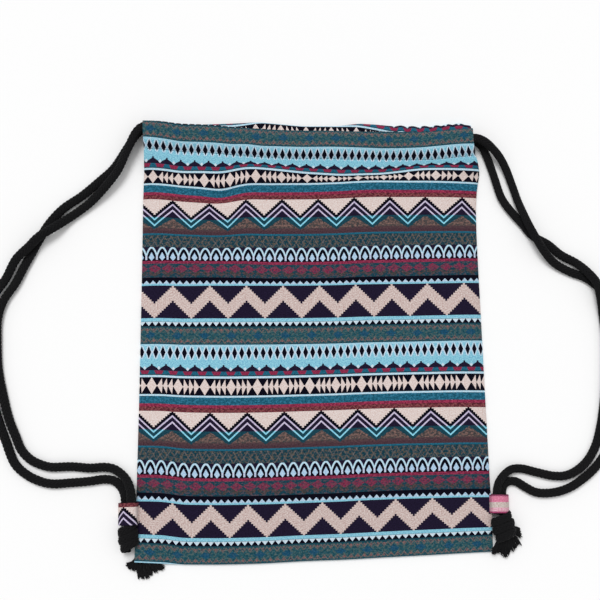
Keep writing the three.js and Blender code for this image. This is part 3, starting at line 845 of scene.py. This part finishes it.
def front_panel():
    centre_y, centre_z = front_line(mouth_x)
    stitch_y, stitch_z = centre_y - TUNNEL_REACH, centre_z - STITCH_DROP
    share = np.concatenate([np.linspace(0, 0.68, 84), np.linspace(0.68, 1, 130)[1:]])
    stitch_t = np.full(len(u), (BASE_ROW - 37) * TICK / MM)
    for _ in range(12):
        t = share[None, :] * stitch_t[:, None]
        z = front_height(u[:, None], t, stitch_t[:, None], stitch_z[:, None])
        y = base_y[:, None] + np.cumsum(np.pad(steps_forward(t, z), ((0, 0), (1, 0))), axis=1)
        stitch_t = stitch_t + (stitch_y - y[:, -1])
    q = np.linspace(-1, 0, 14)[1:]
    over = np.stack([q * TUNNEL_REACH, -STITCH_DROP + (STITCH_DROP + TUNNEL_RISE) * (1 - np.abs(q) ** 2.6)], axis=1)
    bend = np.linspace(math.pi / 2, -math.pi / 2, 25)[1:]
    half_height = np.where(bend > 0, TUNNEL_RISE, TUNNEL_SAG)
    round_fold = np.stack([np.cos(bend) * TUNNEL_REACH, np.sin(bend) * half_height], axis=1)
    q = np.linspace(0, -1, 14)[1:]
    under = np.stack([q * TUNNEL_REACH, -TUNNEL_SAG + np.abs(q) ** 2.4], axis=1)
    tunnel = np.concatenate([over, round_fold, under])
    y = np.concatenate([y, centre_y[:, None] + tunnel[None, :, 0]], axis=1)
    z = np.concatenate([z, centre_z[:, None] + tunnel[None, :, 1]], axis=1)
    walked = np.hypot(np.diff(y[:, -len(tunnel) - 1 :], axis=1), np.diff(z[:, -len(tunnel) - 1 :], axis=1))
    t = np.concatenate([t, t[:, -1:] + np.cumsum(walked, axis=1)], axis=1)
    x = u[:, None] * half_width(y)
    grid = np.stack([x + side_shift(u[:, None], y), y, z + sum(seam_lift(u[:, None], x, y))], axis=2)
    fold_row = len(share) + len(over) + 11
    # the right side is pulled outward a little, and at the lower left corner the pattern lies a little higher
    across = x - RIGHT_PULL * smooth_step(x, 92, 146)
    early = CORNER_LEAD * smooth_step(-x, 112, 136) * (1 - smooth_step(t, 90, 130))
    return grid, np.stack([across, BASE_ROW * TICK / MM - t + early], axis=2), len(share) - 1, fold_row


def hem_cells(grid, fold_row):
    """The cells of a panel, without the inner layer of its hem beyond the two ends of the tunnel."""
    keep = np.ones((grid.shape[0] - 1, grid.shape[1] - 1), bool)
    middle = 0.5 * (mouth_x[1:] + mouth_x[:-1])
    keep[(middle < HEM_ENDS[0]) | (middle > HEM_ENDS[1]), fold_row:] = False
    return keep


front_grid, front_map, front_stitch_row, front_fold_row = front_panel()
front_cells = hem_cells(front_grid, front_fold_row)
front_cloth = cloth_sheet("front_cloth", front_grid, front_map, 1, front_cells, (printed_cotton, washed_cotton))
print("pattern row on the fold:", (front_map[::19, front_fold_row, 1] * MM / TICK).round(1).tolist())

# %% [markdown]
# ## The back panel
# The back lies flat on the floor, and only its hem shows, above the front fold. There the pattern runs the other
# way up, as it does when one length of cloth is folded at the base. At its right end the hem is gathered into
# small scallops by the pull of the cord.

# %% Back panel
BACK_FOLD = [
    (-152, 196), (-138, 196), (-120, 193.6), (-101, 195.5), (-75, 196.4), (-47, 198), (-29, 196.4), (-8, 194.5),
    (26, 194.7), (44, 197.3), (62, 196.4), (80, 194.5), (98, 193.6), (116, 194.5), (134, 196.4), (146, 197), (152, 196),
]
SCALLOP = 1.5
BACK_ROW = [(-152, 54), (-65, 55), (-45, 58.5), (25, 58.5), (48, 54), (75, 50), (152, 49)]


def back_line(x):
    """Middle of the back tunnel."""
    return hand_line(BACK_FOLD, x, 5) - TUNNEL_REACH


def back_panel():
    gathered = smooth_step(mouth_x, 72, 84) * (mouth_x < 148)
    centre_y = back_line(mouth_x) + SCALLOP * np.abs(np.sin((mouth_x - 78) / 3.6)) * gathered
    share = np.linspace(0, 1, 60)
    flat_y = base_y[:, None] + share[None, :] * (centre_y - base_y)[:, None]
    bend = np.linspace(-math.pi / 2, math.pi / 2, 25)[1:]
    round_fold = np.stack([np.cos(bend) * TUNNEL_REACH, 3.83 + np.sin(bend) * 3.38], axis=1)
    q = np.linspace(0, -1, 12)[1:]
    over = np.stack([q * TUNNEL_REACH, 7.21 - 5.6 * np.abs(q) ** 2.2], axis=1)
    tunnel = np.concatenate([round_fold, over])
    y = np.concatenate([flat_y, centre_y[:, None] + tunnel[None, :, 0]], axis=1)
    z = np.concatenate([np.full_like(flat_y, 0.45), np.repeat(tunnel[None, :, 1], len(u), axis=0)], axis=1)
    walked = np.hypot(np.diff(y, axis=1), np.diff(z, axis=1))
    t = np.pad(np.cumsum(walked, axis=1), ((0, 0), (1, 0)))
    x = u[:, None] * half_width(y)
    grid = np.stack([x + side_shift(u[:, None], y), y, z + seam_lift(u[:, None], x, y)[0]], axis=2)
    fold_row = len(share) + 11
    row = hand_line(BACK_ROW, mouth_x, 8)
    return grid, np.stack([x, row[:, None] * TICK / MM + t - t[:, fold_row, None]], axis=2), fold_row


back_grid, back_map, back_fold_row = back_panel()
back_cells = hem_cells(back_grid, back_fold_row + 9)
back_cloth = cloth_sheet("back_cloth", back_grid, back_map, -1, back_cells, (printed_cotton, washed_cotton))

# %% [markdown]
# ## The hidden part of each cord
# One cord makes both strands of one strap. Between them it runs through the front tunnel, turns at the far end of
# the hem and comes back through the back tunnel. Little of it shows, so it is laid with a coarser braid, a bit
# squeezed, along the middle of the two tunnels.

# %% Cords in the tunnels
def hidden_run(name, strap, offset, start, turn):
    """The run of one cord from its front strand through both tunnels to its back strand."""
    way = math.copysign(1, turn - start)
    x = np.linspace(start, turn, 16)
    front_y, front_z = front_line(x)
    forth = np.stack([x, front_y + offset, front_z + 0.2], axis=1)
    back = np.stack([x, back_line(x) + offset, np.full_like(x, 3.8)], axis=1)[::-1]
    far = 0.5 * (forth[-1] + back[0])
    bend = [forth[-1] + (3 * way, 0, -1.2), far + (4.4 * way, 0, 0), back[0] + (3 * way, 0, 1.2)]
    ends = [[STRANDS[strap + which][0]] for which in ("_front", "_back")]
    path = smooth_route(np.concatenate([ends[0], forth, bend, back, ends[1]]), 3 * MM)
    heading = np.gradient(path, axis=0)
    face = np.cross(heading, (0, 1, 0))
    piece = run_nodes(line_piece(name, path, face), braid,
                      {"Material": black_cord, "Step": 3 * MM, "Sides": 4, "Width": 8 * MM, "Thickness": 4.6 * MM})
    print(name, round(route_length(path) / MM), "mm,", triangles(piece), "triangles")
    return piece


left_run = hidden_run("left_cord_run_braid", "left_strap", 4.6, -122, 107)
right_run = hidden_run("right_cord_run_braid", "right_strap", -4.6, 102, -140)

# %% [markdown]
# ## Knots
# Below each tab the two strands are tied together. The knot is a round lump of the same braid: it goes about the
# strands in turns that touch each other, flattened by the floor. Walking a squeezed helix gives such turns, and
# the braid tree dresses it as it dressed the straps.

# %% Two knots
KNOTS = {
    "left_knot": {"x": (-165.8, -163.2), "top": -164.2, "pitch": 6.7, "reach": (6.8, 4.1)},
    "right_knot": {"x": (165.4, 169.8), "top": -161.8, "pitch": 7.2, "reach": (8.4, 4.1)},
}


def knot_path(x, top, pitch, reach):
    """Three turns of a squeezed helix about the strands, slanting, and fullest in the middle."""
    f = np.linspace(0, 1, 90)
    angle = (3 * f - 0.25) * math.tau
    full = 0.84 + 0.22 * np.sin(math.pi * f)
    across = x[0] + (x[1] - x[0]) * f + reach[0] * full * np.cos(angle)
    along = top - 3 * pitch * f + 1.6 * np.cos(angle)
    height = 6.5 + reach[1] * np.sin(angle)
    outward = np.stack([np.cos(angle) / reach[0], 0 * angle, np.sin(angle) / reach[1]], axis=1)
    return np.stack([across, along, height], axis=1) * MM, outward


knots = {}
for name, shape in KNOTS.items():
    path, outward = knot_path(**shape)
    knots[name] = run_nodes(line_piece(name + "_braid", path, outward), braid,
                            {"Material": black_cord, "Thickness": 4.4 * MM, "Width": 8.2 * MM, "Lay": 26 * MM})
    print(name, triangles(knots[name]), "triangles")

# %% [markdown]
# ## Frayed ends
# Past the knots the cords are cut and come apart into their yarns. Hair could do this, but a fringe of real thin
# tubes can be looked at from close by and exported. A few guide lines are drawn from the knot to where the ends
# lie. Geometry Nodes copies each one many times, lets the copies spread and curl more and more towards
# their tips, and keeps them above the floor.

# %% Fray tree
def fray_tree():
    tree, given, end = new_tree("frayed_yarns", [
        ("Guides", "Geometry", None),
        ("Copies", "Int", 40),
        ("Shortest", "Float", 0.8),
        ("Spread", "Float", 1.5 * MM),
        ("Curl", "Float", 2.2 * MM),
        ("Yarn", "Float", 0.42 * MM),
        ("Floor", "Float", 0.6 * MM),
        ("Seed", "Int", 7),
        ("Material", "Material", None),
    ])
    curve = node(tree, "GeometryNodeMeshToCurve", Mesh=given["Guides"])
    even = node(tree, "GeometryNodeResampleCurve", {"mode": "COUNT"}, Curve=out(curve), Count=14)
    copies = node(tree, "GeometryNodeDuplicateElements", {"domain": "SPLINE"}, Geometry=out(even),
                  Amount=given["Copies"])
    own = out(node(tree, "GeometryNodeFieldOnDomain", {"data_type": "INT", "domain": "CURVE"},
                   Value=out(node(tree, "GeometryNodeInputIndex"))))
    length = node(tree, "FunctionNodeRandomValue", {"data_type": "FLOAT"}, ID=own, Seed=given["Seed"] + 3)
    join(tree, given["Shortest"], length.inputs[2])
    cut = node(tree, "GeometryNodeTrimCurve", Curve=out(copies), End=out(length, 1))
    along = out(node(tree, "GeometryNodeSplineParameter"), "Factor")
    aside = node(tree, "FunctionNodeRandomValue", {"data_type": "FLOAT_VECTOR"}, ID=own, Seed=given["Seed"])
    aside.inputs["Min"].default_value = (-1, -1, -0.6)
    aside.inputs["Max"].default_value = (1, 1, 0.8)
    place = out(node(tree, "GeometryNodeInputPosition"))
    sample = vector_math(tree, "ADD", vector_math(tree, "SCALE", place, scale=190.0),
                         vector_math(tree, "SCALE", out(aside), scale=23.0))
    waves = node(tree, "ShaderNodeTexNoise", Vector=sample, Scale=1.0, Detail=1.0)
    curl = vector_math(tree, "SUBTRACT", out(waves, "Color"), (0.5, 0.5, 0.5))
    push = vector_math(tree, "ADD", vector_math(tree, "SCALE", out(aside), scale=given["Spread"] * (along * 0.7 + 0.3)),
                       vector_math(tree, "SCALE", curl, scale=given["Curl"] * along * 2.0))
    moved = node(tree, "ShaderNodeSeparateXYZ", Vector=vector_math(tree, "ADD", place, push))
    above = node(tree, "ShaderNodeCombineXYZ", X=out(moved, "X"), Y=out(moved, "Y"),
                 Z=out(moved, "Z").math("MAXIMUM", given["Floor"]))
    laid = node(tree, "GeometryNodeSetPosition", Geometry=out(cut), Position=out(above))
    ring = node(tree, "GeometryNodeCurvePrimitiveCircle", {"mode": "RADIUS"}, Resolution=5, Radius=given["Yarn"])
    tubes = node(tree, "GeometryNodeCurveToMesh", Curve=out(laid), Profile_Curve=out(ring), Fill_Caps=True)
    real = node(tree, "GeometryNodeRealizeInstances", Geometry=out(tubes))
    soft = node(tree, "GeometryNodeSetShadeSmooth", Geometry=out(real))
    dyed = node(tree, "GeometryNodeSetMaterial", Geometry=out(soft), Material=given["Material"])
    tree.links.new(out(dyed).socket, end.inputs[0])
    return tree


fray = fray_tree()
print("fray tree has", len(fray.nodes), "nodes")

# %% Frayed ends of the two cords
FRAYS = {
    "left_knot": [
        [(-158, -184, 3.4), (-156.5, -194, 2.4), (-156.5, -202, 1.8), (-154.8, -210, 1.2)],
        [(-158, -184, 3.2), (-154, -194, 2.4), (-153.5, -203, 1.8), (-151.5, -210.8, 1.2)],
        [(-158, -184, 3.0), (-152, -194, 2.4), (-150.5, -203, 1.8), (-148, -210.8, 1.2)],
        [(-158, -184, 2.8), (-150, -194, 2.2), (-147.5, -202, 1.8), (-144.8, -208, 1.2)],
        [(-158, -184, 2.8), (-148, -194, 2.2), (-144, -201, 1.6), (-140.8, -205.8, 1.2)],
        [(-158, -184, 2.8), (-147, -194, 2.2), (-141, -200, 1.6), (-136.5, -203.6, 1.2)],
        [(-158, -184, 2.8), (-146, -195, 2.2), (-139, -199.5, 1.6), (-134, -202.4, 1.2)],
        [(-158, -185, 3.0), (-158, -193, 2.6), (-161, -197.5, 2.2), (-166, -199, 1.6)],
        [(-158, -185, 3.0), (-157.5, -195, 2.6), (-161, -200, 2.2), (-164.6, -201.4, 1.6)],
        [(-158, -185, 3.0), (-157, -196, 2.4), (-159, -201.5, 1.8), (-161, -203.6, 1.2)],
    ],
    "right_knot": [
        [(165, -180, 6), (163.5, -186, 5), (161.5, -191, 3.6), (160.6, -196, 2.2)],
        [(166, -180, 7), (165, -186, 5.4), (164, -191, 3.6), (163.8, -195.6, 2)],
        [(168, -180, 8), (167, -187, 5.6), (166.6, -193, 3.4), (167.4, -198, 1.8)],
        [(169, -180, 8), (169, -187, 5.6), (169.5, -194, 3.4), (169.6, -200, 1.6)],
        [(171, -180, 8), (171.4, -187, 5.6), (172, -192, 3.4), (171.6, -197.4, 1.6)],
        [(172, -179, 8), (173.6, -186, 5.4), (174.4, -190, 3.4), (175, -194, 1.8)],
        [(173, -178, 7), (176, -184, 5.2), (177.6, -188, 3.4), (179, -192, 1.8)],
        [(174, -176, 7), (178, -181, 5), (180.4, -185, 3.4), (182, -188.4, 2)],
        [(174, -174, 7), (178.6, -177, 5.4), (181.6, -179.6, 4), (184, -181.8, 2.6)],
        [(174, -172, 7), (178, -173.6, 5.4), (181, -175.6, 4), (183, -178, 2.8)],
        [(164, -181, 6), (162, -187, 5.4), (159.6, -192, 5), (157.8, -196.4, 4.4)],
    ],
}


def guide_lines(name, lines):
    """Several chains of edges in one mesh, each a smooth curve through its points."""
    mesh = bpy.data.meshes.new(name)
    chains = [smooth_route(points, 1.5 * MM) for points in lines]
    first = np.cumsum([0] + [len(chain) for chain in chains])
    edges = [(k, k + 1) for a, b in zip(first, first[1:]) for k in range(a, b - 1)]
    mesh.from_pydata(np.concatenate(chains).tolist(), edges, [])
    piece = bpy.data.objects.new(name, mesh)
    bpy.context.scene.collection.objects.link(piece)
    return piece


frayed = {}
for name, lines in FRAYS.items():
    curl, shortest = (0.7 * MM, 0.9) if name == "left_knot" else (2.4 * MM, 0.78)
    frayed[name] = run_nodes(guide_lines(name + "_fray", lines), fray,
                             {"Material": black_cord, "Curl": curl, "Shortest": shortest})
    print(name, "fray has", triangles(frayed[name]), "triangles")

# %% [markdown]
# ## The two tabs
# A short strip of offcut is folded round both strands and caught in the side seam, so that the straps pull on the
# bag. Each is a sheet again: its middle line goes under the strands, round them and back over the top, and the
# strip is that line carried along the seam. The left tab is cut from the same cloth. The right one is from a
# pink-striped part of the bolt.

# %% Tab cotton
def striped(name, stripes):
    made, tree, shader = new_material(name)
    parts = node(tree, "ShaderNodeSeparateXYZ", Vector=out(node(tree, "ShaderNodeUVMap", {"uv_map": "cloth"})))
    down = out(parts, "Y") / MM
    ground = node(tree, "ShaderNodeRGB")
    ground.outputs[0].default_value = in_linear(*stripes[0][1])
    colour = ground.outputs[0]
    for start, shade in stripes[1:]:
        mix = node(tree, "ShaderNodeMix", {"data_type": "RGBA"}, Factor=down.over(start))
        tree.links.new(colour, mix.inputs[6])
        mix.inputs[7].default_value = in_linear(*shade)
        colour = mix.outputs[2]
    finish_cotton(tree, shader, colour)
    return made


pink_cotton = striped("pink_striped_cotton", [
    (0, (142, 72, 100)), (1.3, (216, 128, 158)), (6.4, (206, 192, 186)), (11.2, (224, 172, 188)),
    (14.6, (168, 72, 112)),
])
print("pink cotton ready")

# %% Tabs
TAB_LINE = [
    (155.4, 1.5), (158.4, 1.3), (162.4, 0.75), (167, 0.7), (171, 1.0), (173, 3.0), (173, 5.6), (171.4, 8.2),
    (168.6, 10.8), (165.2, 12.2), (160.6, 12.2), (157.6, 10.6), (156.7, 7.6), (156.4, 4.6), (155.4, 2.9),
]


def tab(name, side, top, width, cloths, row, across):
    """One tab. Row and across say which bit of the pattern lies at its upper edge and on its middle."""
    line = smooth_route([(side * x, 0, z) for x, z in TAB_LINE], 0.5 * MM) / MM
    y = np.linspace(top, top - width, 20)[::-1]
    grid = np.repeat(line[:, None, :], len(y), axis=1)
    edge = np.abs(np.linspace(-1, 1, len(y)))
    grid[:, :, 1] = y[None, :] + 0.35 * np.sin(np.arange(len(line)) / 9.0)[:, None]
    grid[:, :, 2] -= 0.35 * (edge**6)[None, :] * (line[:, 2] > 6)[:, None]
    walked = np.arange(len(line)) * 0.5
    middle = walked[np.argmin(np.abs(line[:, 0] - side * 167.6) + 100 * (line[:, 2] < 6))]
    along_strip = (side * (middle - walked) + across)[:, None]
    cloth_map = np.stack(np.broadcast_arrays(along_strip, row + (top - y)[None, :]), axis=2)
    keep = np.ones((len(line) - 1, len(y) - 1), bool)
    piece = cloth_sheet(name, grid, cloth_map, -side, keep, cloths)
    print(name, "is a strip of", round(walked[-1], 1), "by", width, "mm,", triangles(piece), "triangles")
    return piece, walked[-1]


LEFT_TAB_WIDTH, RIGHT_TAB_WIDTH = 19, 16
left_tab, left_strip = tab("left_tab_cloth", -1, -145, LEFT_TAB_WIDTH, (printed_cotton, washed_cotton),
                           90.2 * TICK / MM, 5.9 * TICK / MM)
right_tab, right_strip = tab("right_tab_cloth", 1, -144, RIGHT_TAB_WIDTH, (pink_cotton, pink_cotton), 0, 0)

# %% [markdown]
# ## Hem stitches
# One row of dark thread closes the front tunnel. It is a path along the cloth and one short stitch repeated on
# it, which is just what Geometry Nodes are for: points at an even pitch, and a small rounded length of thread
# lying along the path at each of them.

# %% Stitch tree and the front hem
def stitch_tree():
    tree, given, end = new_tree("stitches", [
        ("Path", "Geometry", None),
        ("Pitch", "Float", 3.1 * MM),
        ("Stitch", "Float", 2.5 * MM),
        ("Thread", "Float", 0.27 * MM),
        ("Material", "Material", None),
    ])
    curve = node(tree, "GeometryNodeMeshToCurve", Mesh=given["Path"])
    points = node(tree, "GeometryNodeCurveToPoints", {"mode": "LENGTH"}, Curve=out(curve), Length=given["Pitch"])
    one = node(tree, "GeometryNodeMeshUVSphere", Segments=6, Rings=6, Radius=1.0)
    size = node(tree, "ShaderNodeCombineXYZ", X=given["Thread"], Y=given["Thread"], Z=given["Stitch"] * 0.5)
    placed = node(tree, "GeometryNodeInstanceOnPoints", Points=out(points), Instance=out(one),
                  Rotation=out(points, "Rotation"), Scale=out(size))
    real = node(tree, "GeometryNodeRealizeInstances", Geometry=out(placed))
    soft = node(tree, "GeometryNodeSetShadeSmooth", Geometry=out(real))
    dyed = node(tree, "GeometryNodeSetMaterial", Geometry=out(soft), Material=given["Material"])
    tree.links.new(out(dyed).socket, end.inputs[0])
    return tree


thread, _, thread_shader = new_material("dark_thread")
thread_shader.inputs["Base Color"].default_value = in_linear(34, 58, 74)
thread_shader.inputs["Roughness"].default_value = 0.7
seam = front_grid[2:-2, front_stitch_row] + (0, 0, 0.5)
hem_stitches = run_nodes(line_piece("front_hem_stitches", seam * MM, np.tile((0, 0, 1), (len(seam), 1))), stitch_tree(),
                         {"Material": thread})
print("hem stitches", triangles(hem_stitches), "triangles")

# %% [markdown]
# ## Hand the pieces over
# Every piece is hung on the frame, and the solid it stands for is hidden, so that the solids stay behind for contact
# and only the dressed pieces show.

# %% Put every piece in the frame
def hand_over(piece, solid):
    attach(piece, "root")
    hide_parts(solid)


for name, strand in strands.items():
    hand_over(strand, name)
for name in KNOTS:
    hand_over(knots[name], name)
    hand_over(frayed[name], name)
hand_over(left_run, "left_cord_run")
hand_over(right_run, "right_cord_run")

hand_over(front_cloth, "front_panel")
hand_over(hem_stitches, "front_panel")
hand_over(back_cloth, "back_panel")
for piece, name, strip, width in (
    (left_tab, "left_tab", left_strip, LEFT_TAB_WIDTH),
    (right_tab, "right_tab", right_strip, RIGHT_TAB_WIDTH),
):
    hand_over(piece, name)
